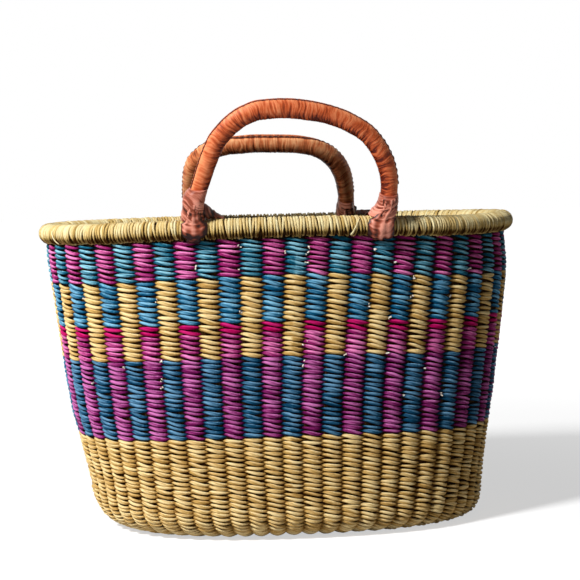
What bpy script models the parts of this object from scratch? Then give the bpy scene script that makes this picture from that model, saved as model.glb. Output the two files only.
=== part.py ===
"""An oval twined-straw basket with two leather handles, in metres, +Z up.

The origin is the middle of the underside. +X runs along the basket's length, and the
front handle stands on the -Y side. The weave is three layers: the passes of the weft
outside the stakes, the stakes, and the passes inside them.
"""

import math

import bmesh
import bpy
from mathutils import Matrix, Vector

# Rim
RIM_LENGTH = 0.450
RIM_WIDTH = 0.262
RIM_HEIGHT = 0.2885
RIM_THICKNESS = 0.018
RIM_WRAP = 0.0020
RIM_OVERHANG = 0.0070

# Wall and base
PLAN_POWER = 2.2
LOWER_LENGTH = 0.372
LOWER_WIDTH = 0.216
CORNER_RADIUS = 0.040
HUB_LENGTH = 0.206
HUB_WIDTH = 0.052
STAKES = 58
STAKE_WIDTH = 0.0036
STAKE_THICKNESS = 0.0024
OUTER_WEFT = 0.0032
INNER_WEFT = 0.0028
RIB_DEPTH = 0.0022
LINING_RIB_DEPTH = 0.0014
SHOULDER_SHARE = 0.24
SHOULDER_DEPTH_SHARE = 0.42

# Heights of the colour changes, as shares of the weave's height
NATURAL_SHARE = 0.3534
LOWER_BAND_SHARE = 0.618
MAGENTA_NATURAL_SHARE = 0.731
TEAL_NATURAL_SHARE = 0.8827

# Handles
HANDLE_HEIGHT = 0.1065
HANDLE_THICKNESS = 0.0160
LEATHER = 0.0020
LEG_STRAIGHT = 0.031
FRONT_TILT = math.radians(18)
BACK_TILT = math.radians(43)
FRONT_BEND = 0.0060
BACK_BEND = -0.0075
FRONT_ARCH_POWER = 2.0
BACK_ARCH_POWER = 2.3
SEAM_WIDTH = 0.0036
SEAM_RISE = 0.0012
SEAM_SLIT = 0.0012

# Loops that hold the handles on the rim
FOOT_STAKES = 4
LOOP_THICKNESS = 0.0020
LOOP_WIDTH = 0.0120
LUG_WIDTH = 0.0220
TAB_WIDTH = 0.0130
TAB_TOP = 0.0340
NARROW_OUTSIDE = math.radians(-8)
WIDE_OUTSIDE = math.radians(28)
NARROW_INSIDE = math.radians(17)
WIDE_INSIDE = math.radians(46)
BINDING_BOTTOM = 0.0200
BINDING_HEIGHT = 0.0110
BINDING_THICKNESS = 0.0014
BINDING_POWER = 4

# Running and seating gaps, and how far a cutter runs past what it cuts
GAP = 0.0003
SWING_GAP = 0.0005
NOTCH_GAP = 0.0010
HEAD_GAP = 0.0007
OVERRUN = 0.004

# Steps of the curves
CORNER_STEPS = 3
ARCH_STEPS = 18
CORE_SIDES = 6
SLEEVE_STEPS = 8
LINING_STEPS = 7
LOOP_STEP = math.radians(24)
BINDING_SIDES = 12
FINE_STEPS = 2900
SHARP_ANGLE = math.radians(50)

FRONT, BACK = -1, 1
LEFT, RIGHT = -1, 1
SIDE_WORDS = {FRONT: "front", BACK: "back"}
END_WORDS = {LEFT: "left", RIGHT: "right"}

RIM_RADIUS = RIM_THICKNESS / 2
RIM_Z = RIM_HEIGHT - RIM_RADIUS
RIM_LINE = (RIM_LENGTH / 2 - RIM_RADIUS, RIM_WIDTH / 2 - RIM_RADIUS)
WALL_TOP = RIM_Z - RIM_RADIUS - GAP
NATURAL_TOP = NATURAL_SHARE * WALL_TOP
LOWER_BAND_TOP = LOWER_BAND_SHARE * WALL_TOP
MAGENTA_NATURAL_TOP = MAGENTA_NATURAL_SHARE * WALL_TOP
TEAL_NATURAL_TOP = TEAL_NATURAL_SHARE * WALL_TOP
UPPER = (RIM_LENGTH / 2 - RIM_OVERHANG, RIM_WIDTH / 2 - RIM_OVERHANG)
LOWER = (LOWER_LENGTH / 2, LOWER_WIDTH / 2)
HUB = (HUB_LENGTH / 2, HUB_WIDTH / 2)

# Depths of the layers, from the outer face
STAKE_OUTER = OUTER_WEFT + GAP
STAKE_INNER = STAKE_OUTER + STAKE_THICKNESS
LINING_OUTER = STAKE_INNER + GAP
LINING_INNER = LINING_OUTER + INNER_WEFT

QUARTER = math.pi / 2
TURN = 2 * math.pi


def core_in(radius):
    """The radius of a core that fits inside a sleeve whose faceted bore has this radius."""
    return radius * math.cos(TURN / LINING_STEPS / 2) - GAP


RIM_CORE = core_in(RIM_RADIUS - RIM_WRAP)

COLOURS = {
    "natural_straw": (0.62, 0.39, 0.13, 0.62, 0),
    "stake_straw": (0.56, 0.34, 0.11, 0.7, 0),
    "magenta_straw": (0.37, 0.02, 0.19, 0.5, 0),
    "teal_straw": (0.02, 0.19, 0.30, 0.5, 0),
    "rim_straw": (0.68, 0.46, 0.15, 0.6, 0),
    "tan_leather": (0.55, 0.14, 0.05, 0.45, 0),
    "foot_leather": (0.31, 0.10, 0.07, 0.5, 0),
    "seam_thong": (0.22, 0.05, 0.02, 0.55, 0),
}


def clear_scene():
    for old in list(bpy.data.objects):
        bpy.data.objects.remove(old, do_unlink=True)


def new_collection(name):
    made = bpy.data.collections.new(name)
    bpy.context.scene.collection.children.link(made)
    return made


def material(name):
    """The part's own material of that name, made once."""
    made = bpy.data.materials.get(name)
    if made is None:
        made = bpy.data.materials.new(name)
        made.use_nodes = True
        shader = made.node_tree.nodes["Principled BSDF"]
        red, green, blue, roughness, metallic = COLOURS[name]
        shader.inputs["Base Color"].default_value = (red, green, blue, 1)
        shader.inputs["Roughness"].default_value = roughness
        shader.inputs["Metallic"].default_value = metallic
    return made


def add_object(name, data, colour, parent=None, collection=None):
    made = bpy.data.objects.new(name, data)
    (collection or PARTS).objects.link(made)
    if colour:
        data.materials.append(material(colour))
    made.parent = parent
    return made


def add_mesh(name, shape, colour, parent=None):
    """A smooth-shaded object of a finished bmesh, with its faces turned out."""
    bmesh.ops.recalc_face_normals(shape, faces=shape.faces)
    mesh = bpy.data.meshes.new(name)
    shape.to_mesh(mesh)
    shape.free()
    mesh.shade_smooth()
    mesh.set_sharp_from_angle(angle=SHARP_ANGLE)
    return add_object(name, mesh, colour, parent)


# Plan outline

def on_oval(half_sizes, angle):
    """A point of the plan outline: angle 0 is the front middle, and a quarter turn is +X."""
    across, along = math.sin(angle), math.cos(angle)
    power = 2 / PLAN_POWER
    x = half_sizes[0] * math.copysign(abs(across) ** power, across)
    y = -half_sizes[1] * math.copysign(abs(along) ** power, along)
    return Vector((x, y, 0))


def spaced_angles(count):
    """Angles that part the rim's line into equal lengths, from the front middle round by +X."""
    line = [on_oval(RIM_LINE, TURN * i / FINE_STEPS) for i in range(FINE_STEPS + 1)]
    walked = [0.0]
    for here, there in zip(line, line[1:]):
        walked.append(walked[-1] + (there - here).length)
    found, step = [], 0
    for i in range(count):
        goal = walked[-1] * i / count
        while walked[step + 1] < goal:
            step += 1
        part = (goal - walked[step]) / (walked[step + 1] - walked[step])
        found.append(TURN * (step + part) / FINE_STEPS)
    return found


HALF_COLUMNS = spaced_angles(2 * STAKES)


def stake_angle(stake):
    return HALF_COLUMNS[2 * (stake % STAKES)]


def valley_angle(stake):
    """The angle of the hollow after a stake."""
    return HALF_COLUMNS[2 * (stake % STAKES) + 1]


def inset(half_sizes, depth):
    return half_sizes[0] - depth, half_sizes[1] - depth


# Rings of the wall: each is ((half length, half width), height)

def wall_ring(depth, height):
    share = (height - CORNER_RADIUS) / (WALL_TOP - CORNER_RADIUS)
    sizes = [low + (high - low) * share for low, high in zip(LOWER, UPPER)]
    return inset(sizes, depth), height


def corner_ring(depth, turn):
    """Turn 0 is the foot of the wall, and a quarter turn is the edge of the flat base."""
    radius = CORNER_RADIUS - depth
    return (
        inset(LOWER, CORNER_RADIUS - radius * math.cos(turn)),
        CORNER_RADIUS - radius * math.sin(turn),
    )


def corner_rings(depth):
    return [corner_ring(depth, QUARTER * i / CORNER_STEPS) for i in range(CORNER_STEPS + 1)]


def valley(ring, stake):
    sizes, height = ring
    return on_oval(sizes, valley_angle(stake)) + Vector((0, 0, height))


def facet(ring, stake, share):
    """A point of the flat that a ring has over a stake, from the hollow before it to the one after."""
    return valley(ring, stake - 1).lerp(valley(ring, stake), share)


def plain_loop(ring):
    return [[valley(ring, stake)] for stake in range(STAKES)]


def outward_ribs(ring):
    """One rounded rib for each stake. The hollows lie a rib's depth back from the crests."""
    sizes, height = ring
    shoulder = (inset(sizes, SHOULDER_DEPTH_SHARE * RIB_DEPTH), height)
    deeper = (inset(sizes, RIB_DEPTH), height)
    return [
        [
            facet(shoulder, stake, SHOULDER_SHARE),
            facet(ring, stake, 1 / 2),
            facet(shoulder, stake, 1 - SHOULDER_SHARE),
            valley(deeper, stake),
        ]
        for stake in range(STAKES)
    ]


def inward_ribs(ring):
    """One plain rib for each stake on the lining's inner face."""
    sizes, height = ring
    deeper = (inset(sizes, -LINING_RIB_DEPTH), height)
    return [[facet(ring, stake, 1 / 2), valley(deeper, stake)] for stake in range(STAKES)]


def add_loop(shape, columns):
    return [[shape.verts.new(point) for point in column] for column in columns]


def flat(columns):
    return [vert for column in columns for vert in column]


def join_loops(shape, upper, lower):
    """Faces between two loops of equal count."""
    above, below = flat(upper), flat(lower)
    for i in range(len(above)):
        j = (i + 1) % len(above)
        shape.faces.new((above[i], above[j], below[j], below[i]))


def cap_loops(shape, outer, inner):
    """One flat face a column between loops that both start each column after its first hollow."""
    for stake in range(STAKES):
        before = stake - 1
        outline = [outer[before][-1], *outer[stake], *reversed(inner[stake]), inner[before][-1]]
        shape.faces.new(outline)


def woven_shell(name, colour, outer_rings, inner_rings, ribs_inside=False, floor=False):
    """A layer of the weave, given by its rings from the top down. Its ribs face out, or in."""
    shape = bmesh.new()
    if ribs_inside:
        outer = [add_loop(shape, plain_loop(ring)) for ring in outer_rings]
        inner = [add_loop(shape, inward_ribs(ring)) for ring in inner_rings]
    else:
        outer = [add_loop(shape, outward_ribs(ring)) for ring in outer_rings]
        inner = [add_loop(shape, plain_loop(ring)) for ring in inner_rings]
    for loops in (outer, inner):
        for upper, lower in zip(loops, loops[1:]):
            join_loops(shape, upper, lower)
    cap_loops(shape, outer[0], inner[0])
    if floor:
        shape.faces.new(flat(outer[-1]))
        shape.faces.new(flat(inner[-1]))
    else:
        cap_loops(shape, outer[-1], inner[-1])
    return add_mesh(name, shape, colour)


def band(name, colour, bottom, top):
    """The outer passes of one stripe of colours."""
    outer = [wall_ring(0, top), wall_ring(0, bottom)]
    inner = [wall_ring(OUTER_WEFT, top), wall_ring(OUTER_WEFT, bottom)]
    return woven_shell(name, colour, outer, inner)


def build_weft():
    woven_shell(
        "weft_natural_bowl",
        "natural_straw",
        [wall_ring(0, NATURAL_TOP), *corner_rings(0)],
        [wall_ring(OUTER_WEFT, NATURAL_TOP), *corner_rings(OUTER_WEFT)],
        floor=True,
    )
    band("weft_lower_band", "magenta_straw", NATURAL_TOP + GAP, LOWER_BAND_TOP)
    band("weft_magenta_natural_band", "magenta_straw", LOWER_BAND_TOP + GAP, MAGENTA_NATURAL_TOP)
    band("weft_teal_natural_band", "teal_straw", MAGENTA_NATURAL_TOP + GAP, TEAL_NATURAL_TOP)
    upper = band("weft_upper_band", "magenta_straw", TEAL_NATURAL_TOP + GAP, WALL_TOP)
    lining = woven_shell(
        "weft_lining",
        "natural_straw",
        [wall_ring(LINING_OUTER, WALL_TOP), *corner_rings(LINING_OUTER)],
        [wall_ring(LINING_INNER, WALL_TOP), *corner_rings(LINING_INNER)],
        ribs_inside=True,
        floor=True,
    )
    for side in (FRONT, BACK):
        for end in (LEFT, RIGHT):
            notch = notch_cutter(side, end)
            for woven in (upper, lining):
                cut = woven.modifiers.new("notch", "BOOLEAN")
                cut.operation = "DIFFERENCE"
                cut.solver = "EXACT"
                cut.object = notch


def stake_section(shape, rings, stake):
    """Four corners of a stake where the rings of its two faces lie."""
    outer_ring, inner_ring = rings
    width = (valley(outer_ring, stake) - valley(outer_ring, stake - 1)).length
    half = STAKE_WIDTH / 2 / width
    corners = []
    for ring, share in (
        (outer_ring, 1 / 2 - half),
        (outer_ring, 1 / 2 + half),
        (inner_ring, 1 / 2 + half),
        (inner_ring, 1 / 2 - half),
    ):
        corners.append(shape.verts.new(facet(ring, stake, share)))
    return corners


def build_stakes():
    """An oval start mat with the stakes running out of it and up the wall, as one piece."""
    shape = bmesh.new()
    stake_top = RIM_Z - RIM_CORE - GAP
    faces = []
    for depth in (STAKE_OUTER, STAKE_INNER):
        rings = [(HUB, depth), *reversed(corner_rings(depth)), wall_ring(depth, stake_top)]
        faces.append(rings)
    roots = []
    for stake in range(STAKES):
        sections = [stake_section(shape, rings, stake) for rings in zip(*faces)]
        for near, far in zip(sections, sections[1:]):
            for i in range(len(near)):
                j = (i + 1) % len(near)
                shape.faces.new((near[i], near[j], far[j], far[i]))
        shape.faces.new(sections[-1])
        roots.append(sections[0])
    under, over = [], []
    for stake, root in enumerate(roots):
        following = roots[(stake + 1) % STAKES]
        shape.faces.new((root[1], following[0], following[3], root[2]))
        under += (root[0], root[1])
        over += (root[3], root[2])
    shape.faces.new(under)
    shape.faces.new(over)
    add_mesh("stake_frame", shape, "stake_straw")


# Rim

def add_line(name, points, cyclic, colour, parent=None, collection=None):
    """A curve object of straight steps through points."""
    data = bpy.data.curves.new(name, "CURVE")
    data.dimensions = "3D"
    spline = data.splines.new("POLY")
    spline.points.add(len(points) - 1)
    for knot, point in zip(spline.points, points):
        knot.co = (*point, 1)
    spline.use_cyclic_u = cyclic
    return add_object(name, data, colour, parent, collection)


def add_profile(name, points):
    """A closed outline that a curve carries along, kept out of the render."""
    guide = add_line(name, [(x, y, 0) for x, y in points], True, None, collection=GUIDES)
    guide.data.dimensions = "2D"
    guide.data.fill_mode = "NONE"
    guide.hide_render = True
    guide.display_type = "WIRE"
    return guide


def split_ring(outer, inner, start, end):
    """The outline of a round sleeve that is open from its end angle round to its start angle."""
    points = []
    for i in range(SLEEVE_STEPS + 1):
        angle = start + (end - start) * i / SLEEVE_STEPS
        points.append((outer * math.cos(angle), outer * math.sin(angle)))
    for i in range(LINING_STEPS + 1):
        angle = end + (start - end) * i / LINING_STEPS
        points.append((inner * math.cos(angle), inner * math.sin(angle)))
    return points


def rim_points():
    return [on_oval(RIM_LINE, stake_angle(stake)) + Vector((0, 0, RIM_Z)) for stake in range(STAKES)]


def stake_offsets():
    """The least and the most that a stake's head lies inside the rim's line."""
    found = []
    for stake in range(STAKES):
        head = facet(wall_ring((STAKE_OUTER + STAKE_INNER) / 2, WALL_TOP), stake, 1 / 2)
        run = on_oval(RIM_LINE, stake_angle(stake)) - head
        found.append(math.hypot(run.x, run.y))
    return min(found), max(found)


def build_rim():
    core = add_line("rim_core", rim_points(), True, "rim_straw")
    core.data.bevel_depth = RIM_CORE
    core.data.bevel_resolution = (CORE_SIDES - 4) // 2
    core.data.twist_mode = "Z_UP"

    # The wrap is open underneath, where the heads of the stakes go in.
    nearest, furthest = stake_offsets()
    start = QUARTER + math.asin((furthest + STAKE_THICKNESS / 2 + HEAD_GAP) / RIM_RADIUS)
    end = QUARTER + math.asin((nearest - STAKE_THICKNESS / 2 - HEAD_GAP) / RIM_RADIUS)
    outline = split_ring(RIM_RADIUS, RIM_RADIUS - RIM_WRAP, TURN - start, -end)
    wrap = add_line("rim_wrap", rim_points(), True, "rim_straw")
    wrap.data.bevel_mode = "OBJECT"
    wrap.data.bevel_object = add_profile("rim_wrap_outline", outline)
    wrap.data.twist_mode = "Z_UP"


# Handles

def foot_place(side, end):
    """Where a handle's foot turns on the rim's line, level with the space between two stakes."""
    middle = 0 if side == FRONT else STAKES // 2
    turn = end if side == FRONT else -end
    inner = middle + turn * FOOT_STAKES
    outer = inner + turn
    ring = wall_ring((STAKE_OUTER + STAKE_INNER) / 2, WALL_TOP)
    x = facet(ring, inner, 1 / 2).lerp(facet(ring, outer, 1 / 2), 1 / 2).x
    ends = [on_oval(RIM_LINE, stake_angle(stake)) for stake in (inner, outer)]
    return ends[0].lerp(ends[1], (x - ends[0].x) / (ends[1].x - ends[0].x)) + Vector((0, 0, RIM_Z))


def rim_slope():
    """How far the rim runs back from a handle's axis for each metre along it, at a foot."""
    ends = [on_oval(RIM_LINE, stake_angle(FOOT_STAKES + i)) for i in (0, 1)]
    run = ends[1] - ends[0]
    return abs(run.y / run.x)


SPREAD = foot_place(FRONT, RIGHT).x
LEG_RADIUS = HANDLE_THICKNESS / 2
SLOPE = rim_slope()
LOOP_INNER = RIM_RADIUS * math.hypot(1, SLOPE) + LUG_WIDTH / 2 * SLOPE + SWING_GAP
LOOP_LINE = LOOP_INNER + LOOP_THICKNESS / 2
LOOP_OUTER = LOOP_INNER + LOOP_THICKNESS
TAB_LINE = LEG_RADIUS + GAP + LOOP_THICKNESS / 2
TAB_FOOT = BINDING_BOTTOM - BINDING_THICKNESS


def notch_cutter(side, end):
    """A box that opens the top of the weave where a loop passes under the rim."""
    place = foot_place(side, end)
    depth = LOOP_OUTER + NOTCH_GAP - (RIM_Z - WALL_TOP) + OVERRUN
    shape = bmesh.new()
    bmesh.ops.create_cube(shape, size=1)
    width = LOOP_WIDTH + 2 * NOTCH_GAP
    length = 2 * RIM_THICKNESS
    bmesh.ops.scale(shape, vec=(width, length, depth), verts=shape.verts)
    mesh = bpy.data.meshes.new("notch")
    shape.to_mesh(mesh)
    shape.free()
    name = f"notch_{SIDE_WORDS[side]}_{END_WORDS[end]}"
    cutter = add_object(name, mesh, None, collection=GUIDES)
    cutter.location = (place.x, place.y, WALL_TOP + OVERRUN - depth / 2)
    cutter.hide_render = True
    cutter.display_type = "WIRE"
    return cutter


def arch_points(bend, power):
    """The handle's line in its own plane: straight legs, then half an oval set a little to one side."""
    rise = HANDLE_HEIGHT - LEG_STRAIGHT
    points = [(-SPREAD, 0, LOOP_INNER - SWING_GAP)]
    for i in range(ARCH_STEPS + 1):
        angle = math.pi * (1 - i / ARCH_STEPS)
        along, up = math.cos(angle), abs(math.sin(angle)) ** (2 / power)
        across = SPREAD * math.copysign(abs(along) ** (2 / power), along)
        across += bend * math.sin(math.pi * up) ** 2
        points.append((across, 0, LEG_STRAIGHT + rise * up))
    points.append((SPREAD, 0, LOOP_INNER - SWING_GAP))
    return points


def build_arch(label, pivot, line):
    """The straw core of a handle, the leather round it and the thong along the leather's seam."""
    core = add_line(label + "_handle_core", line, False, "stake_straw", pivot)
    core.data.bevel_depth = core_in(LEG_RADIUS - LEATHER)
    core.data.bevel_resolution = (CORE_SIDES - 4) // 2
    core.data.use_fill_caps = True

    slit = math.asin(SEAM_SLIT / 2 / LEG_RADIUS)
    outline = split_ring(
        LEG_RADIUS, LEG_RADIUS - LEATHER, QUARTER - slit, QUARTER - TURN + slit
    )
    leather = add_line(label + "_handle_leather", line, False, "tan_leather", pivot)
    leather.data.bevel_mode = "OBJECT"
    leather.data.bevel_object = add_profile(label + "_leather_outline", outline)
    leather.data.use_fill_caps = True

    low, high = LEG_RADIUS + GAP, LEG_RADIUS + GAP + SEAM_RISE
    crest = SEAM_WIDTH / 4
    outline = [(-SEAM_WIDTH / 2, low), (-crest, high), (crest, high), (SEAM_WIDTH / 2, low)]
    seam = add_line(label + "_handle_seam", line[2:-2], False, "seam_thong", pivot)
    seam.data.bevel_mode = "OBJECT"
    seam.data.bevel_object = add_profile(label + "_seam_outline", outline)
    seam.data.use_fill_caps = True


def lug_share(angle, narrow, wide):
    """How far the strap has widened at an angle above the level of the rim's line."""
    return min(1, max(0, (angle - narrow) / (wide - narrow)))


def loop_stations(out):
    """(across, up, width) along a strap: down its inner tab, under the rim and up its outer tab."""
    leave = math.acos(TAB_LINE / LOOP_LINE)
    count = math.ceil((math.pi + 2 * leave) / LOOP_STEP)
    stations = [(-out * TAB_LINE, up, TAB_WIDTH) for up in (TAB_TOP, TAB_FOOT)]
    for i in range(count + 1):
        angle = leave - (math.pi + 2 * leave) * i / count
        inside = i <= count / 2
        above = angle if inside else -math.pi - angle
        limits = (NARROW_INSIDE, WIDE_INSIDE) if inside else (NARROW_OUTSIDE, WIDE_OUTSIDE)
        width = LOOP_WIDTH + (LUG_WIDTH - LOOP_WIDTH) * lug_share(above, *limits)
        stations.append((-out * LOOP_LINE * math.cos(angle), LOOP_LINE * math.sin(angle), width))
    stations += [(out * TAB_LINE, up, TAB_WIDTH) for up in (TAB_FOOT, TAB_TOP)]
    return stations


def build_loop(name, pivot, out, place_x):
    """A strap that goes round the rim, with its two tabs against the faces of the leg."""
    stations = loop_stations(out)
    shape = bmesh.new()
    sections = []
    for i, (y, z, width) in enumerate(stations):
        before = stations[max(i - 1, 0)]
        after = stations[min(i + 1, len(stations) - 1)]
        run = Vector((0, after[0] - before[0], after[1] - before[1])).normalized()
        away = Vector((0, run.z, -run.y)) * (LOOP_THICKNESS / 2)
        middle = Vector((place_x, y, z))
        side = Vector((width / 2, 0, 0))
        near, far = middle + away, middle - away
        corners = (near + side, near - side, far - side, far + side)
        sections.append([shape.verts.new(corner) for corner in corners])
    for near, far in zip(sections, sections[1:]):
        for i in range(len(near)):
            j = (i + 1) % len(near)
            shape.faces.new((near[i], near[j], far[j], far[i]))
    shape.faces.new(sections[0])
    shape.faces.new(sections[-1])
    add_mesh(name, shape, "foot_leather", pivot)


def binding_ring(grow, height):
    """A squarish ring round a leg and the tabs on its two faces."""
    corner = TAB_WIDTH / 2
    half_x = LEG_RADIUS + GAP
    reach = TAB_LINE + LOOP_THICKNESS / 2 + GAP
    half_y = reach / (1 - (corner / half_x) ** BINDING_POWER) ** (1 / BINDING_POWER)
    points = []
    for i in range(BINDING_SIDES):
        angle = TURN * (i + 1 / 2) / BINDING_SIDES
        c, s = math.cos(angle), math.sin(angle)
        power = 2 / BINDING_POWER
        points.append(
            Vector((
                (half_x + grow) * math.copysign(abs(c) ** power, c),
                (half_y + grow) * math.copysign(abs(s) ** power, s),
                height,
            ))
        )
    return points


def build_binding(name, pivot, place_x):
    """The thong wound over a foot's tabs, swollen at its middle."""
    top = BINDING_BOTTOM + BINDING_HEIGHT
    middle = BINDING_BOTTOM + BINDING_HEIGHT / 2
    rings = [
        binding_ring(0, BINDING_BOTTOM),
        binding_ring(BINDING_THICKNESS / 2, BINDING_BOTTOM),
        binding_ring(BINDING_THICKNESS, middle),
        binding_ring(BINDING_THICKNESS / 2, top),
        binding_ring(0, top),
    ]
    shape = bmesh.new()
    loops = [[shape.verts.new(point + Vector((place_x, 0, 0))) for point in ring] for ring in rings]
    for upper, lower in zip(loops, loops[1:] + loops[:1]):
        for i in range(BINDING_SIDES):
            j = (i + 1) % BINDING_SIDES
            shape.faces.new((upper[i], upper[j], lower[j], lower[i]))
    add_mesh(name, shape, "foot_leather", pivot)


def build_handle(side, tilt, bend, power):
    """A handle on an empty that lies on its hinge line, tilted as it rests."""
    label = SIDE_WORDS[side]
    foot = foot_place(side, RIGHT)
    pivot = bpy.data.objects.new(label + "_handle_pivot", None)
    PARTS.objects.link(pivot)
    pivot.matrix_world = Matrix.Translation((0, foot.y, foot.z)) @ Matrix.Rotation(tilt, 4, "X")
    build_arch(label, pivot, arch_points(bend, power))
    for end, word in END_WORDS.items():
        build_loop(f"{label}_{word}_loop", pivot, side, end * SPREAD)
        build_binding(f"{label}_{word}_binding", pivot, end * SPREAD)


clear_scene()
PARTS = new_collection("bolga_basket")
GUIDES = new_collection("cutters_and_outlines")
GUIDES.hide_render = True
build_stakes()
build_weft()
build_rim()
build_handle(FRONT, FRONT_TILT, FRONT_BEND, FRONT_ARCH_POWER)
build_handle(BACK, BACK_TILT, BACK_BEND, BACK_ARCH_POWER)
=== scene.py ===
# %% [markdown]
# # A bolga basket
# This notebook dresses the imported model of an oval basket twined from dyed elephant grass. The
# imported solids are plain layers; here every strand, every turn of the rim and every wrinkle of the
# leather is made, and each new piece stands where its solid stands.

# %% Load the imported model
import math
import random

import bpy
import numpy as np
from mathutils import Matrix, Vector


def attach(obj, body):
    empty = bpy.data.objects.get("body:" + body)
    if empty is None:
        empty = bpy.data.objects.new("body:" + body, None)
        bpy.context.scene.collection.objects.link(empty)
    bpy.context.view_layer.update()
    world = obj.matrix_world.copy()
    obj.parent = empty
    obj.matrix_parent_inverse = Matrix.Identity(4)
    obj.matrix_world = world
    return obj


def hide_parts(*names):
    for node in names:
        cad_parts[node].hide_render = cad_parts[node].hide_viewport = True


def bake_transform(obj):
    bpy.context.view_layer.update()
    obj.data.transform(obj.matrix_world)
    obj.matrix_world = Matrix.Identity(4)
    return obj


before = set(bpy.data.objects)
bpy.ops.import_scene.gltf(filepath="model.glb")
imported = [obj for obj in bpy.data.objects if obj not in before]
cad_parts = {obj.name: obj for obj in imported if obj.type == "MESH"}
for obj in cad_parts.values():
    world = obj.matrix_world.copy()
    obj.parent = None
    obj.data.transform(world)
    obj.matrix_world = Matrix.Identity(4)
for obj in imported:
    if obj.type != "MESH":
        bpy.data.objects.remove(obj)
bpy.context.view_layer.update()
print("packed nodes:", len(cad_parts))

# %% [markdown]
# ## Where the photographer stood
# The photograph was taken from a little above the rim, with a fairly long lens. The eye and the
# point it looks at were fitted to the rim's two ends, the stripes and the handles' feet, and the
# roll makes the rim run slightly downhill, as it does in the picture.

# %% Camera
EYE = Vector((-0.10984, -1.39568, 0.3139))
TARGET = Vector((0.00877, -0.00069, 0.2162))
ROLL = math.radians(-1.38)
SENSOR = 36.0
LENS = 1478 / 580 * SENSOR


def camera_rotation(eye, target, roll):
    """The rotation of a camera that looks at a point and is rolled about its line of sight."""
    ahead = (target - eye).normalized()
    right = ahead.cross(Vector((0, 0, 1))).normalized()
    up = right.cross(ahead)
    across = right * math.cos(roll) + up * math.sin(roll)
    over = up * math.cos(roll) - right * math.sin(roll)
    return Matrix((across, over, -ahead)).transposed().to_quaternion()


lens_data = bpy.data.cameras.new("photographer")
lens_data.sensor_width = SENSOR
lens_data.lens = LENS
photographer = bpy.data.objects.new("photographer", lens_data)
bpy.context.scene.collection.objects.link(photographer)
photographer.location = EYE
photographer.rotation_mode = "QUATERNION"
photographer.rotation_quaternion = camera_rotation(EYE, TARGET, ROLL)
bpy.context.scene.camera = photographer
print("lens", round(LENS, 1), "mm")

# %% [markdown]
# ## The sizes that the weave follows
# The solids give the outer form: a rounded oval that widens from the foot to the rim. The strands
# need the same form as a formula, so the main sizes are written down again here.

# %% Sizes of the basket
MM = 0.001
RIM_LINE = (216 * MM, 122 * MM)
RIM_Z = 279.5 * MM
RIM_RADIUS = 9 * MM
WALL_TOP = 270.2 * MM
UPPER = (218 * MM, 124 * MM)
LOWER = (186 * MM, 108 * MM)
CORNER = 40 * MM
PLAN_POWER = 2.2
STAKES = 58
WALL_DROP = WALL_TOP - CORNER
CORNER_DROP = CORNER * math.pi / 2


def on_oval(half_length, half_width, angle):
    """Points of the rounded oval: angle 0 is the front middle, and a quarter turn is +X."""
    across, along = np.sin(angle), np.cos(angle)
    x = half_length * np.sign(across) * np.abs(across) ** (2 / PLAN_POWER)
    y = -half_width * np.sign(along) * np.abs(along) ** (2 / PLAN_POWER)
    return x, y


# %% [markdown]
# ## Equal columns
# The stakes stand at equal steps along the rim. A table from step to angle lets any point be asked
# for by its column, where column 0 is the stake at the front middle.

# %% Table of columns
TABLE_STEPS = 40000
fine = np.linspace(0, 2 * math.pi, TABLE_STEPS + 1)
line_x, line_y = on_oval(*RIM_LINE, fine)
walked = np.concatenate([[0], np.cumsum(np.hypot(np.diff(line_x), np.diff(line_y)))])
RIM_GIRTH = walked[-1]


def angle_of(column):
    """The plan angle of a column, which may be a fraction or go round more than once."""
    turns = np.floor(column / STAKES)
    share = column / STAKES - turns
    return np.interp(share * RIM_GIRTH, walked, fine)


print("girth of the rim's line", round(RIM_GIRTH * 1000), "mm")

# %% [markdown]
# ## Rows that dip
# A handmade basket is never quite level. The handles pull the rim up at the middle of each side, and
# toward the ends the rows of weave dip. The dip is read from the colour changes in the photograph.

# %% Dip of rim and rows
DIP_COLUMNS = [-29, -24, -19, -14.5, -12, -9, -6, -3, 0, 2.5, 5, 8, 11, 14.5, 19, 24, 29]
DIP_SIZES = [0, 2, 5, 7.5, 7.8, 6.4, 3.6, 1.2, 0.4, 0.8, 4.4, 7.4, 6.8, 6, 5, 2, 0]
DIP_DROPS = [0, 32 * MM, 73 * MM, 175 * MM, 230 * MM, 290 * MM]
DIP_SHARES = [0.0, 1.0, 0.72, 0.62, 0.2, 0.0]
RIM_DIP_SIZES = [1.7, 1.5, 2.2, 3.4, 3.6, 3.0, 1.4, 0.3, -0.3, 0.2, 1.8, 3.4, 2.6, 0.8, 1.2, 1.5, 1.7]


def around_front(column):
    """The column counted from the front middle, from minus half a turn to half a turn."""
    return (column + STAKES / 2) % STAKES - STAKES / 2


def dip(column, sizes=DIP_SIZES):
    """How far a row hangs below level at a column, in metres."""
    around = around_front(column)
    spread = [np.interp(around + shift, DIP_COLUMNS, sizes) for shift in (-0.8, 0, 0.8)]
    return sum(spread) / 3 * MM


def rim_dip(column):
    return dip(column, RIM_DIP_SIZES)


def row_dip(column, drop):
    """The dip of a row: the rim's own at the top, then the rows', which fades toward the base."""
    near_rim = np.interp(drop, [0, 32 * MM], [1, 0])
    return dip(column) * np.interp(drop, DIP_DROPS, DIP_SHARES) + rim_dip(column) * near_rim


print("rows dip by up to", max(DIP_SIZES), "mm")

# %% [markdown]
# The stakes don't stand quite evenly either: on the right of the front they fan out toward the rim,
# so the columns there are a little wider. The shift is small, a part of one column at most.

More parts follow.
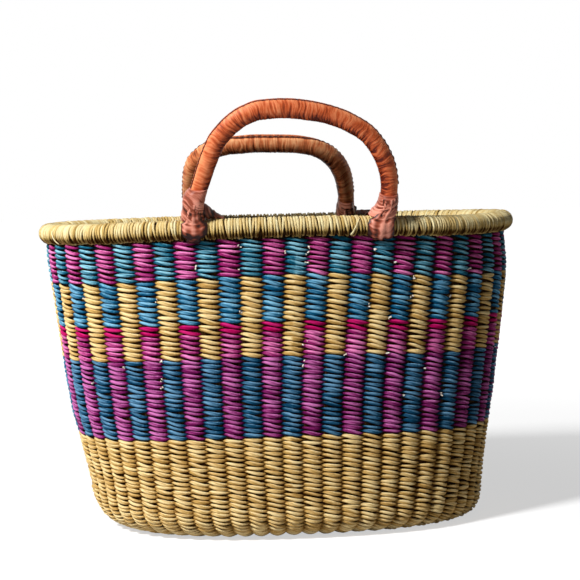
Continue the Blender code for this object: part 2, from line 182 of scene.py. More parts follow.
# %% Fan of the columns
FAN_COLUMNS = [-29, -8, -4, -2, 0, 2, 4, 6, 8, 10, 12, 14.5, 20, 27, 29]
FAN_TOP = [0, 0.05, 0.1, 0.19, 0.28, 0.35, 0.44, 0.6, 0.72, 0.8, 0.85, 0.8, 0.4, 0, 0]
FAN_LOW = [0, -0.08, -0.1, -0.1, -0.12, -0.05, 0.1, 0.22, 0.45, 0.55, 0.6, 0.6, 0.3, 0, 0]


def fanned(column, drop):
    """The column's place along the rim, shifted by the fan, which fades out at the base."""
    around = around_front(column)
    top, low = (np.interp(around, FAN_COLUMNS, shifts) for shifts in (FAN_TOP, FAN_LOW))
    share = np.clip((drop - 10 * MM) / (135 * MM), 0, 1)
    fade = np.clip((290 * MM - drop) / (90 * MM), 0, 1)
    return column + (top + (low - top) * share) * fade


print("columns fan by up to", max(FAN_TOP), "of a column")

# %% [markdown]
# The wall isn't quite the plain form of the solid either. It is drawn in under the rim at the right
# end, bellies out by a few millimetres lower down, and turns more sharply into the base on the right.
# The tables give what the outline in the photograph shows, in millimetres.

# %% Belly and corner
BELLY = {
    "right": ([0, 8, 16, 30, 45, 85, 150, 190, 220, 250, 310], [-5.0, -3.6, -1.6, 0.8, 2.0, 2.4, 1.9, 0.6, 0, 0.8, 0]),
    "left": ([0, 8, 20, 50, 85, 130, 160, 180, 205, 225, 250, 300], [0, 1, 2.2, 2.4, 3, 4, 3.4, 1, -1, -2.5, -2.5, 0]),
    "front": ([0, 30, 120, 200, 250, 310], [0, 0, 1.5, 4, 5, 0]),
}
BELLY_COLUMNS = {"right": (13.5, 8, 5), "left": (-14.0, 7, 5), "front": (0, 13, 6)}
CORNER_COLUMNS = [-29, -20, -14.5, -10, -6, 0, 4, 8, 12, 15, 19, 29]
CORNER_SIZES = [40, 40, 42, 36, 30, 30, 27, 22, 18, 20, 34, 40]
END_INWARD = 64 * MM
END_DROP = WALL_DROP + CORNER_DROP + END_INWARD


def soft_step(share):
    share = np.clip(share, 0, 1)
    return share * share * (3 - 2 * share)


def window(column, name):
    middle, reach, fade = BELLY_COLUMNS[name]
    return soft_step((reach - np.abs(around_front(column) - middle)) / fade)


def belly(column, drop):
    """How far the wall stands outside the plain form, in metres."""
    return MM * sum(np.interp(drop / MM, *table) * window(column, name) for name, table in BELLY.items())


def corner_radius(column):
    around = around_front(column)
    spread = [np.interp(around + shift, CORNER_COLUMNS, CORNER_SIZES) for shift in (-1, 0, 1)]
    return sum(spread) / 3 * MM


print("corner radius", min(CORNER_SIZES), "to", max(CORNER_SIZES), "mm")

# %% [markdown]
# ## One formula for the whole skin
# A point of the skin is given by its column, by how far down it lies from the rim (first down the
# wall, then round the corner, then in across the underside) and by its depth below the outer face.


# %% Points of the skin
def skin(column, drop, depth):
    """World points of the skin as an array whose last axis is x, y, z."""
    corner = corner_radius(column)
    wall_drop = WALL_TOP - corner
    turn_end = wall_drop + corner * math.pi / 2
    height = WALL_TOP - drop
    share = (height - corner) / wall_drop
    turn = np.clip((drop - wall_drop) / corner, 0, math.pi / 2)
    inward = np.maximum(drop - turn_end, 0) * (END_INWARD + CORNER - corner) / (END_DROP - turn_end)
    on_wall = drop <= wall_drop
    out = belly(column, drop)
    sizes = []
    for low, high in zip(LOWER, UPPER):
        wall = low + (high - low) * share - depth
        round_corner = low - corner + (corner - depth) * np.cos(turn) - inward
        sizes.append(np.where(on_wall, wall, np.maximum(round_corner, 0.0005)) + out)
    z = np.where(on_wall, height, corner - (corner - depth) * np.sin(turn))
    x, y = on_oval(*sizes, angle_of(fanned(column, drop)))
    return np.stack([x, y, z], axis=-1)


def unit(vectors):
    return vectors / np.linalg.norm(vectors, axis=-1, keepdims=True)


# %% [markdown]
# ## A mesh from rings
# Strands, turns of straw and leather tubes are all rings of points joined to the next ring. One
# helper makes the mesh and gives it a UV map: U runs along in millimetres and V goes round. Each
# point also carries a tone, a number that the materials use to make one stitch unlike the next and
# that also holds painted shade and painted highlights.


# %% Mesh helper
def ring_mesh(name, points, along, tone, slots=None, closed=True, caps=False):
    """A mesh from points[tube, station, side], with U from along[tube, station]."""
    tubes, stations, sides = points.shape[:3]
    steps = stations if closed else stations - 1
    t, k, j = np.meshgrid(np.arange(tubes), np.arange(steps), np.arange(sides), indexing="ij")
    here, there = (t * stations + k) * sides, (t * stations + (k + 1) % stations) * sides
    after = (j + 1) % sides
    quads = np.stack([here + j, here + after, there + after, there + j], axis=-1).reshape(-1, 4)
    count = len(quads)
    starts = np.arange(count) * 4
    corners = quads.reshape(-1)
    sizes = np.full(count, 4)
    if caps and not closed:
        ends = []
        for tube in range(tubes):
            first = tube * stations * sides
            last = first + (stations - 1) * sides
            ends += [first + np.arange(sides)[::-1], last + np.arange(sides)]
        corners = np.concatenate([corners, *ends])
        starts = np.concatenate([starts, count * 4 + np.arange(len(ends)) * sides])
        sizes = np.concatenate([sizes, np.full(len(ends), sides)])
    mesh = bpy.data.meshes.new(name)
    mesh.vertices.add(points.size // 3)
    mesh.vertices.foreach_set("co", points.reshape(-1).astype(np.float32))
    mesh.loops.add(len(corners))
    mesh.loops.foreach_set("vertex_index", corners.astype(np.int32))
    mesh.polygons.add(len(starts))
    mesh.polygons.foreach_set("loop_start", starts.astype(np.int32))
    mesh.update(calc_edges=True)
    uv = np.zeros((len(corners), 2), np.float32)
    step = np.abs(np.median(np.diff(along, axis=1)))
    ahead = np.concatenate([along[:, 1:], along[:, -1:] + step], axis=1)
    u_here, u_there = along[t, k], ahead[t, k]
    uv[: count * 4, 0] = np.stack([u_here, u_here, u_there, u_there], axis=-1).reshape(-1)
    v_here, v_there = j / sides, (j + 1) / sides
    uv[: count * 4, 1] = np.stack([v_here, v_there, v_there, v_here], axis=-1).reshape(-1)
    mesh.uv_layers.new(name="strand").data.foreach_set("uv", uv.reshape(-1))
    shade = mesh.attributes.new("tone", "FLOAT", "POINT")
    tone = np.asarray(tone, np.float32)
    tone = tone if tone.ndim == 3 else np.broadcast_to(tone, (tubes, stations))[..., None]
    spread = np.ascontiguousarray(np.broadcast_to(tone, (tubes, stations, sides)))
    shade.data.foreach_set("value", spread.reshape(-1))
    if slots is not None:
        chosen = np.broadcast_to(slots, (tubes, stations))[t, k].reshape(-1)
        chosen = np.concatenate([chosen, np.zeros(len(starts) - count, int)])
        mesh.polygons.foreach_set("material_index", chosen.astype(np.int32))
    mesh.shade_smooth()
    piece = bpy.data.objects.new(name, mesh)
    bpy.context.scene.collection.objects.link(piece)
    return piece


def dress(piece, body, slot, materials, *nodes):
    """Gives a piece its materials, its body and the solids that it stands for."""
    for finish in materials:
        piece.data.materials.append(finish)
    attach(piece, body)
    if nodes:
        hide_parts(*nodes)
    print(piece.name, len(piece.data.polygons), "faces")
    return piece


# %% [markdown]
# ## Straw, dyed and plain
# Elephant grass is split, soaked, dyed and twisted, so one strand shows fine pale and dark fibres
# along its length and the dye takes unevenly. The material stretches noise along U to get fibres,
# darkens the groove between the two plies with painted shade and shifts the whole stitch by its
# tone, which also carries painted shade and painted highlights from the mesh.


# %% Colours and node helpers
def srgb(red, green, blue):
    """A colour read as 0 to 255 on screen, as the linear colour that Blender's sockets take."""
    values = []
    for value in (red, green, blue):
        share = value / 255
        values.append(share / 12.92 if share <= 0.04045 else ((share + 0.055) / 1.055) ** 2.4)
    return (*values, 1.0)


class Nodes:
    """A small hand for wiring a material's nodes."""

    def __init__(self, name):
        self.material = bpy.data.materials.new(name)
        self.material.use_nodes = True
        self.tree = self.material.node_tree
        self.shader = self.tree.nodes["Principled BSDF"]

    def add(self, kind, **settings):
        node = self.tree.nodes.new(kind)
        for key, value in settings.items():
            setattr(node, key, value)
        return node

    def join(self, source, target):
        self.tree.links.new(source, target)

    def math(self, operation, first, second=None):
        node = self.add("ShaderNodeMath", operation=operation)
        for socket, value in zip(node.inputs, (first, second)):
            if value is None:
                continue
            if isinstance(value, (int, float)):
                socket.default_value = value
            else:
                self.join(value, socket)
        return node.outputs[0]

    def ramp(self, source, stops):
        node = self.add("ShaderNodeValToRGB")
        node.color_ramp.elements[0].position, node.color_ramp.elements[0].color = stops[0]
        node.color_ramp.elements[1].position, node.color_ramp.elements[1].color = stops[-1]
        for position, colour in stops[1:-1]:
            node.color_ramp.elements.new(position).color = colour
        self.join(source, node.inputs[0])
        return node.outputs[0]

    def noise(self, vector, scale, detail=3.0, rough=0.6):
        node = self.add("ShaderNodeTexNoise")
        node.inputs["Scale"].default_value = scale
        node.inputs["Detail"].default_value = detail
        node.inputs["Roughness"].default_value = rough
        self.join(vector, node.inputs["Vector"])
        return node.outputs["Fac"]

    def bump(self, height, distance, strength=1.0):
        node = self.add("ShaderNodeBump")
        node.inputs["Distance"].default_value = distance
        node.inputs["Strength"].default_value = strength
        self.join(height, node.inputs["Height"])
        self.join(node.outputs["Normal"], self.shader.inputs["Normal"])


def straw(name, dark, middle, light, roughness=0.55, fibres=4.5):
    """Twisted straw: fibres along the strand, an uneven dye and painted shade in the groove between plies."""
    made = Nodes(name)
    made.shader.inputs["Roughness"].default_value = roughness
    made.shader.inputs["Specular IOR Level"].default_value = 0.02
    uv = made.add("ShaderNodeUVMap", uv_map="strand")
    parts = made.add("ShaderNodeSeparateXYZ")
    made.join(uv.outputs["UV"], parts.inputs[0])
    stretched = made.add("ShaderNodeCombineXYZ")
    made.join(made.math("MULTIPLY", parts.outputs[0], 0.06), stretched.inputs[0])
    made.join(made.math("MULTIPLY", parts.outputs[1], fibres), stretched.inputs[1])
    tone = made.add("ShaderNodeAttribute", attribute_name="tone")
    made.join(made.math("MULTIPLY", tone.outputs["Fac"], 17.0), stretched.inputs[2])
    fibre = made.noise(stretched.outputs[0], 1.6)
    place = made.add("ShaderNodeTexCoord")
    blotch = made.noise(place.outputs["Object"], 90.0, 2.0)
    # The groove between the two plies drives the bump and darkens the colour as painted shade.
    wave = made.math("SINE", made.math("MULTIPLY", parts.outputs[1], 2 * math.pi))
    groove = made.math("POWER", made.math("ABSOLUTE", wave), 0.45)
    mixed = made.math("ADD", made.math("MULTIPLY", fibre, 1.16), made.math("MULTIPLY", blotch, 0.22))
    mixed = made.math("ADD", mixed, made.math("MULTIPLY", tone.outputs["Fac"], 0.42))
    mixed = made.math("SUBTRACT", mixed, 0.17)
    mixed = made.math("MULTIPLY", mixed, made.math("ADD", made.math("MULTIPLY", groove, 0.46), 0.56))
    stops = [(0.14, dark), (0.50, middle), (0.84, light)]
    made.join(made.ramp(mixed, stops), made.shader.inputs["Base Color"])
    relief = made.math("ADD", made.math("MULTIPLY", fibre, 0.7), made.math("MULTIPLY", groove, 0.5))
    made.bump(relief, 0.0010, 0.9)
    return made.material


# %% The straws
NATURAL = straw("plain_straw", srgb(102, 60, 8), srgb(208, 165, 92), srgb(252, 226, 166))
MAGENTA = straw("magenta_straw", srgb(50, 0, 40), srgb(160, 34, 108), srgb(246, 140, 200), 0.45)
DEEP_MAGENTA = straw("deep_magenta_straw", srgb(30, 0, 34), srgb(128, 26, 96), srgb(214, 122, 188), 0.45)
CRIMSON = straw("crimson_straw", srgb(70, 0, 32), srgb(174, 0, 82), srgb(214, 44, 122), 0.45)
TEAL = straw("teal_straw", srgb(0, 22, 44), srgb(22, 104, 132), srgb(146, 204, 222), 0.45)
DEEP_TEAL = straw("deep_teal_straw", srgb(0, 12, 34), srgb(12, 74, 108), srgb(112, 160, 194), 0.45)
BLUE = straw("blue_straw", srgb(0, 22, 48), srgb(16, 96, 136), srgb(134, 194, 224), 0.45)
RIM_STRAW = straw("rim_straw", srgb(74, 42, 6), srgb(222, 186, 110), srgb(255, 242, 192), 0.45)
# Near-black straw for the stakes and the roll: painted shade, the shade inside the wall.
SHADED_STAKE_STRAW = straw("stake_straw", srgb(12, 6, 2), srgb(36, 22, 10), srgb(70, 46, 22), 0.7)
PALE_STRAW = straw("pale_straw", srgb(170, 140, 116), srgb(236, 220, 200), srgb(255, 250, 240), 0.6)
print("straws made")

# %% [markdown]
# ## How twining works
# Two strands travel round together. At every gap between stakes they change places, so each stake
# has one strand in front of it and one behind. With an even number of stakes a strand always comes
# forward at the same stakes: twine a magenta strand with a teal one and the wall gets upright
# columns of the two colours by itself. That is why the strands here are modelled as real paths.

# %% One strand's path
SAMPLES = 8
SIDES = 10
FRONT_DEPTH = 0.65 * MM
BACK_DEPTH = 6.9 * MM
BASE_LIFT = 0.9 * MM
chance = np.random.default_rng(11)


def slow_wave(rows, columns):
    """A smooth random line for each row that closes on itself, about one unit high."""
    wave = np.cumsum(chance.normal(0, 1, (rows, columns)), axis=1)
    wave -= np.linspace(0, 1, columns)[None, :] * wave[:, -1:]
    wave = np.repeat(wave, SAMPLES, axis=1)
    kernel = np.hanning(4 * SAMPLES + 1)
    kernel /= kernel.sum()
    padded = np.concatenate([wave[:, -3 * SAMPLES :], wave, wave[:, : 3 * SAMPLES]], axis=1)
    wave = np.stack([np.convolve(row, kernel, "same") for row in padded])
    return np.clip(wave[:, 3 * SAMPLES : -3 * SAMPLES], -3, 3)


def twined(drops, pitch, parity, columns=STAKES, laps=1, lean=0.29):
    """Rings of points for one strand of each row, which comes forward at stakes of one parity."""
    rows = len(drops)
    stations = columns * laps * SAMPLES
    count = np.arange(stations) / SAMPLES
    column = np.broadcast_to(count * STAKES / columns, (rows, stations))
    phase = math.pi * (count - parity)
    forward = np.cos(phase)
    stitch = np.round((count - parity) / 2).astype(int) % (stations // SAMPLES)
    bunch, tilt, shade = (chance.normal(0, 1, (rows, stations // SAMPLES + 1)) for _ in range(3))
    dips = row_dip(column, drops[:, None])
    slope = lean * (1 + 0.35 * np.clip(tilt[:, stitch], -2, 2))
    drop = drops[:, None] + pitch * slope * np.sin(phase) + 0.13 * MM * slow_wave(rows, columns * laps) + dips
    sharp = np.sign(forward) * np.abs(forward) ** 0.85
    depth = (FRONT_DEPTH + BACK_DEPTH) / 2 - (BACK_DEPTH - FRONT_DEPTH) / 2 * sharp
    depth = depth + 0.15 * MM * bunch[:, stitch] * np.maximum(forward, 0)
    depth = depth + BASE_LIFT * soft_step((drop - 262 * MM) / (20 * MM))
    middle = skin(column, drop, depth)
    out = unit(skin(column, drop, depth - MM) - skin(column, drop, depth + MM))
    run = unit(np.roll(middle, -1, axis=1) - np.roll(middle, 1, axis=1))
    out = unit(out - run * (out * run).sum(-1, keepdims=True))
    down = np.cross(run, out)
    swell = np.abs(forward) ** 0.9
    tall = pitch * (0.27 + 0.19 * swell) * (1 + 0.07 * bunch[:, stitch])
    thick = (1.30 + 0.12 * swell) * MM
    twist = 0.62 * phase + chance.uniform(0, 6.28, (rows, 1))
    around = np.arange(SIDES) * 2 * math.pi / SIDES
    lobes = 1 - 0.24 * np.abs(np.cos(around)) ** 3
    angle = twist[..., None] + around
    points = (
        middle[:, :, None]
        + out[:, :, None] * (thick[None, :, None] * lobes * np.cos(angle))[..., None]
        + down[:, :, None] * (tall[:, :, None] * lobes * np.sin(angle))[..., None]
    )
    along = np.broadcast_to(count * 20.0, (rows, stations)) + chance.uniform(0, 900, (rows, 1))
    tone = 0.5 + 0.20 * shade[:, stitch] + 0.10 * chance.normal(0, 1, (rows, 1))
    # Painted shade and painted highlight: each strand is darker on its underside and inner side, where it dives behind
    # a stake and in the top rows in the rim's shadow, and lighter on the upper side of its forward end.
    under = np.clip(np.sin(angle), -1, 1)
    painted_shade_and_highlight = 0.62 * np.maximum(under, 0) ** 1.3 + 0.55 * np.maximum(-np.cos(angle), 0)
    painted_shade_and_highlight = painted_shade_and_highlight + 0.95 * (1 - np.clip(forward, 0, 1))[None, :, None] ** 2.0
    lit_end = np.clip(forward, 0, 1) ** 0.5 * (0.62 - 0.38 * np.sin(phase) * np.sign(forward))
    painted_shade_and_highlight = painted_shade_and_highlight - 0.52 * np.maximum(-under, 0) ** 1.5 * lit_end[None, :, None]
    painted_shade_and_highlight = painted_shade_and_highlight + 0.42 * np.clip(1.4 - drops / (5 * MM), 0, 1)[:, None, None]
    return points, along, np.clip(tone, 0, 1)[..., None] - painted_shade_and_highlight


# %% [markdown]
# ## The stripes
# A stripe is a stack of rows with its own pair of colours. The drops below are the heights at which
# the photograph changes colour. Each stripe becomes one piece, with one material for each strand.


# %% Stripe builder
def stripe(name, node, slot, top, bottom, rows, first, second, early=None):
    """Rows from one height to another: first shows on even stakes and second on odd ones."""
    pitch = (bottom - top) / rows
    drops = top + pitch * (np.arange(rows) + 0.5)
    sets = [twined(drops, pitch, parity) for parity in (0, 1)]
    points, along, tone = (np.concatenate([one[i] for one in sets]) for i in range(3))
    slots = np.array([0] * rows + [1] * rows)[:, None]
    if early:
        slots[rows : rows + early[0]] = 2
    piece = ring_mesh(name, points, along, tone, slots)
    finishes = [first, second] + ([early[1]] if early else [])
    return dress(piece, "basket", slot, finishes, node)


def drop_at(height):
    return WALL_TOP - height


stripe(
    "twining_under_rim", "weft_upper_band", "magenta_straw",
    drop_at(0.2702), drop_at(0.2385), 8, TEAL, MAGENTA,
)
stripe(
    "twining_blue_and_plain", "weft_teal_natural_band", "teal_straw",
    drop_at(0.2385), drop_at(0.1975), 9, NATURAL, BLUE,
)
stripe(
    "twining_magenta_and_plain", "weft_magenta_natural_band", "magenta_straw",
    drop_at(0.1975), drop_at(0.1670), 7, NATURAL, MAGENTA, (2, CRIMSON),
)
stripe(
    "twining_magenta_and_teal", "weft_lower_band", "magenta_straw",
    drop_at(0.1670), drop_at(0.0955), 17, DEEP_TEAL, DEEP_MAGENTA,
)
stripe(
    "twining_plain", "weft_natural_bowl", "natural_straw",
    drop_at(0.0955), WALL_DROP + CORNER_DROP, 28, NATURAL, NATURAL,
)

# %% [markdown]
# ## The underside
# Weavers start at the middle of the base and add stakes as it grows. The outer rows of the base
# have every stake, the inner rows every second one. An odd number of stakes would let the pair
# swap at each lap, so there one strand goes round twice, as in real spiral twining.


# %% Underside
def base_rows(name, first, last, rows, columns, laps):
    start = WALL_DROP + CORNER_DROP
    pitch = (last - first) / rows
    drops = start + first + pitch * (np.arange(rows) + 0.5)
    sets = [twined(drops, pitch, parity, columns, laps) for parity in ((0, 1) if laps == 1 else (0,))]
    points, along, tone = (np.concatenate([one[i] for one in sets]) for i in range(3))
    return ring_mesh(name, points, along, tone)


outer_base = base_rows("twining_base_outer", 0, 34 * MM, 8, STAKES, 1)
dress(outer_base, "basket", "natural_straw", [NATURAL], "weft_lining")
inner_base = base_rows("twining_base_inner", 34 * MM, 64 * MM, 7, STAKES // 2, 2)
dress(inner_base, "basket", "natural_straw", [NATURAL])

# %% [markdown]
# ## Stakes
# A stake is a bundle of twisted grass. It is hidden by the twining but fills the wall between the
# two strands of each row, so no light comes through, and its straw is painted near black as the
# shade inside the wall. Each bundle is made of seven straws that follow the skin from the rim to
# the middle of the base.

# %% Stake bundles
STRAWS = 7
bundle_drop = np.concatenate([np.linspace(-5, 220, 22), np.linspace(226, 355, 18)]) * MM
straw_column = np.repeat(np.arange(STAKES), STRAWS) + np.tile(np.linspace(-0.45, 0.45, STRAWS), STAKES)
straw_radius = np.tile([1.55, 1.8, 1.8, 1.8, 1.8, 1.8, 1.55], STAKES) * MM
stake_rng = np.random.default_rng(17)
wobble = stake_rng.normal(0, 0.006, (STAKES * STRAWS, len(bundle_drop)))
lanes = straw_column[:, None] + wobble
sunk = np.broadcast_to(bundle_drop, lanes.shape)
straw_middle = skin(lanes, sunk, 4.7 * MM)
straw_run = unit(np.gradient(straw_middle, axis=1))
straw_out = unit(skin(lanes, sunk, 3.7 * MM) - skin(lanes, sunk, 5.7 * MM))
straw_side = np.cross(straw_run, straw_out)
straw_turn = np.arange(6) * math.pi / 3
straw_points = straw_middle[:, :, None] + straw_radius[:, None, None, None] * (
    straw_out[:, :, None] * np.cos(straw_turn)[:, None] + straw_side[:, :, None] * np.sin(straw_turn)[:, None]
)
straw_tone = stake_rng.uniform(0.1, 0.9, (STAKES * STRAWS, 1))
stakes = ring_mesh("stake_bundles", straw_points, sunk * 1000, straw_tone, closed=False)
dress(stakes, "basket", "stake_straw", [SHADED_STAKE_STRAW], "stake_frame")

# %% [markdown]
# ## The start of the base
# The weaver begins with short bundles laid side by side across the middle of the base. They show
# in the long slit that the first rows go round.

# %% Start bundles
start_x = np.arange(-84, 84.1, 4.2) * MM
start_y = np.linspace(-15, 15, 9) * MM
start_turn = np.arange(8) * math.pi / 4
start_rng = np.random.default_rng(19)
lift = 3.4 * MM + 0.8 * MM * np.cos(np.linspace(-1, 1, 9) * math.pi)[None, :] * (-1) ** np.arange(len(start_x))[:, None]
start_middle = np.stack(
    [np.broadcast_to(start_x[:, None], lift.shape), np.broadcast_to(start_y, lift.shape), lift], axis=-1
)
start_round = np.stack([np.cos(start_turn) * 2.5 * MM, 0 * start_turn, np.sin(start_turn) * 1.5 * MM], axis=-1)
start_points = start_middle[:, :, None] + start_round
start_piece = ring_mesh(
    "start_bundles", start_points, np.broadcast_to(start_y * 1000, lift.shape),
    start_rng.uniform(0.3, 0.9, (len(start_x), 1)), closed=False, caps=True,
)
dress(start_piece, "basket", "natural_straw", [NATURAL])

# %% [markdown]
# ## The rim
# The stake ends are laid over into a thick roll, and damp straw is wound round it so closely that
# only slivers of shadow show. On the outside the turns pair up into narrow points where they pass
# between the stakes, so each turn is a ring of its own whose lower end leans to its partner.

# %% Rim winding
RIM_SQUEEZE = 3.4 * MM


def rim_line(column):
    """The middle of the roll in plan, drawn in a little at its right end as the photograph shows."""
    squeeze = RIM_SQUEEZE * window(column, "right")
    return on_oval(RIM_LINE[0] - squeeze, RIM_LINE[1] - squeeze, angle_of(column))


TURNS = 430
AROUND = 20
wind = np.random.default_rng(5)
turn_at = (np.arange(TURNS) + 0.5 + wind.uniform(-0.12, 0.12, TURNS)) * STAKES / TURNS
ring_angle = np.linspace(0, 2 * math.pi, AROUND, endpoint=False) - math.pi / 2
low_share = np.clip((0.72 - np.sin(ring_angle)) / 1.72, 0, 1)
outside = np.clip(np.cos(ring_angle), 0, 1)
width = RIM_GIRTH / TURNS
slant = wind.normal(0.10, 0.20, (TURNS, 1)) * np.sin(ring_angle)
hook = wind.normal(0, 0.34, (TURNS, 1)) * low_share**1.5
column = turn_at[:, None] - (slant + hook) * width / RIM_GIRTH * STAKES
base_x, base_y = rim_line(column)
ahead_x, ahead_y = rim_line(column + 0.05)
line_run = unit(np.stack([ahead_x - base_x, ahead_y - base_y, 0 * base_x], axis=-1))
line_out = np.stack([line_run[..., 1], -line_run[..., 0], 0 * base_x], axis=-1)
up = np.array([0.0, 0.0, 1.0])
proud = wind.normal(0, 0.16, (TURNS, 1)) * MM + 0.35 * MM * wind.normal(0, 1, (TURNS, 1)) * low_share**2
radius = RIM_RADIUS - 1.25 * MM + proud
spoke = line_out * np.cos(ring_angle)[None, :, None] + up * np.sin(ring_angle)[None, :, None]
middle = np.stack([base_x, base_y, RIM_Z - rim_dip(column)], axis=-1) + spoke * radius[..., None]
run = unit(np.roll(middle, -1, axis=1) - np.roll(middle, 1, axis=1))
spoke = unit(spoke - run * (spoke * run).sum(-1, keepdims=True))
side = np.cross(run, spoke)
around = np.arange(8) * math.pi / 4
point = low_share[None, :] ** 1.3 * outside[None, :] ** 0.5
half_wide = width * (0.52 - 0.29 * point) * (1 + wind.normal(0, 0.10, (TURNS, 1)))
half_thick = np.full_like(half_wide, 1.35 * MM)
points = (
    middle[:, :, None]
    + spoke[:, :, None] * (half_thick[..., None] * np.cos(around))[..., None]
    + side[:, :, None] * (half_wide[..., None] * np.sin(around))[..., None]
)
along = np.broadcast_to(np.arange(AROUND) * 56.0 / AROUND, (TURNS, AROUND)) + wind.uniform(0, 900, (TURNS, 1))
# Painted shade: each turn is darker toward the lower outside of the roll, at its narrow point and along its edges,
# where the slivers between turns are.
tip = np.clip((-0.22 - np.sin(ring_angle)) / 0.40, 0, 1) * outside**0.3
tone = np.clip(wind.normal(0.95, 0.28, (TURNS, 1)), 0.1, 1.6) - 0.55 * point**1.4 - 1.25 * tip[None, :]
edge = 0.95 * np.abs(np.sin(around)) ** 2
winding = ring_mesh("rim_winding", points, along, tone[..., None] - edge)
dress(winding, "basket", "rim_straw", [RIM_STRAW], "rim_wrap")

# %% [markdown]
# ## The roll under the winding
# The bundle of laid-over stake ends shows as dark slivers between the turns. It is a plain ring that
# follows the same dip, with the stakes' straw on it, painted near black as the shade between turns.

# %% Rim bundle
BUNDLE_RADIUS = 7.2 * MM
bundle_at = np.arange(0, STAKES, 0.25)
line_x, line_y = rim_line(bundle_at)
next_x, next_y = rim_line(bundle_at + 0.05)
bundle_run = unit(np.stack([next_x - line_x, next_y - line_y, 0 * line_x], axis=-1))
bundle_out = np.stack([bundle_run[:, 1], -bundle_run[:, 0], 0 * line_x], axis=-1)
bundle_turn = np.arange(24) * math.pi / 12
bundle_middle = np.stack([line_x, line_y, RIM_Z - rim_dip(bundle_at)], axis=-1)
bundle_spokes = bundle_out[:, None] * np.cos(bundle_turn)[None, :, None] + up * np.sin(bundle_turn)[None, :, None]
bundle_points = bundle_middle[:, None] + bundle_spokes * BUNDLE_RADIUS
bundle = ring_mesh("rim_bundle", bundle_points[None], (bundle_at * 20)[None], 0.3)
dress(bundle, "basket", "stake_straw", [SHADED_STAKE_STRAW], "rim_core")

# %% [markdown]
# A few of the winding straws ended short, and their ends lie loose across the roll. The first two
# show in the photograph, near the right foot.

# %% Loose straws
LOOSE = [
    (3.10, 2.74, 42, -52), (3.80, 3.88, 0, -64), (21.2, 21.6, 60, -20), (37.5, 37.1, 40, -45), (46.3, 46.5, 20, -60),
]


def on_roll(column, angle, radius):
    """Points on the roll at columns and angles round it, and the way out of it at each of them."""
    x, y = rim_line(column)
    ahead_x, ahead_y = rim_line(column + 0.05)
    run = unit(np.stack([ahead_x - x, ahead_y - y, 0 * x], axis=-1))
    out = np.stack([run[:, 1], -run[:, 0], 0 * x], axis=-1)
    spokes = out * np.cos(angle)[:, None] + up * np.sin(angle)[:, None]
    return np.stack([x, y, RIM_Z - rim_dip(column)], axis=-1) + spokes * radius, spokes


loose_points = []
for first, last, high, low in LOOSE:
    line, spokes = on_roll(np.linspace(first, last, 14), np.radians(np.linspace(high, low, 14)), RIM_RADIUS + 0.6 * MM)
    loose_run = unit(np.gradient(line, axis=0))
    loose_side = np.cross(loose_run, spokes)
    taper = np.linspace(0.5, 1.0, 14)[:, None, None] * MM
    loose_turn = np.arange(8) * math.pi / 4
    ring = spokes[:, None] * 0.6 * np.cos(loose_turn)[:, None] + loose_side[:, None] * np.sin(loose_turn)[:, None]
    loose_points.append(line[:, None] + ring * taper)
loose_along = np.broadcast_to(np.linspace(0, 18, 14), (len(LOOSE), 14))
loose_ends = ring_mesh("loose_straws", np.array(loose_points), loose_along, 1.0, closed=False, caps=True)
dress(loose_ends, "basket", "rim_straw", [RIM_STRAW])

# %% [markdown]
# ## Leather handles
# Each handle is a core wound with straw inside a wet-formed leather cover. As the leather dried it
# shrank into fine wrinkles that run round the tube, and its edges meet in a raised seam along the
# outside of the arch. The tube is swept in fine steps so that the wrinkles can be real dents.

# %% The arch
SPREAD = 83.76 * MM
FOOT_Y = 114.712 * MM
LEG_RADIUS = 8 * MM
ARCH_STEP = 0.55 * MM
BENT = 29


def handle_line(corners):
    """A handle's line in its own plane, evenly spaced, bent smoothly through its corner points."""
    across, up = (np.array(corners, float) * MM).T
    walked = np.concatenate([[0], np.cumsum(np.hypot(np.diff(across), np.diff(up)))])
    even = np.linspace(0, walked[-1], int(walked[-1] / ARCH_STEP))
    soft = np.hanning(BENT) / np.hanning(BENT).sum()
    bent = []
    for values in (np.interp(even, walked, across), np.interp(even, walked, up)):
        pad = BENT // 2
        before = 2 * values[0] - values[pad:0:-1]
        after = 2 * values[-1] - values[-2 : -2 - pad : -1]
        bent.append(np.convolve(np.concatenate([before, values, after]), soft, "valid"))
    return bent[0], bent[1], even


def smooth_noise(rng, first, second, first_cell, second_cell):
    """Soft random bumps over two coordinates, between -1 and 1, with the second one going round."""
    rows = int(np.max(first) / first_cell) + 3
    around = max(2, round(2 * math.pi / second_cell))
    grid = rng.uniform(-1, 1, (rows, around))
    a, b = first / first_cell, second / second_cell
    i, j = np.floor(a).astype(int), np.floor(b).astype(int)
    u, v = a - i, b - j
    u, v = u * u * (3 - 2 * u), v * v * (3 - 2 * v)
    low = grid[i, j % around] * (1 - v) + grid[i, (j + 1) % around] * v
    high = grid[i + 1, j % around] * (1 - v) + grid[i + 1, (j + 1) % around] * v
    return low * (1 - u) + high * u


def stand(points, side, tilt):
    """Turns points of a handle's own plane into world points of the handle as it rests."""
    turn = np.array(Matrix.Rotation(tilt, 3, "X"))
    return points @ turn.T + np.array([0, side * FOOT_Y, RIM_Z])


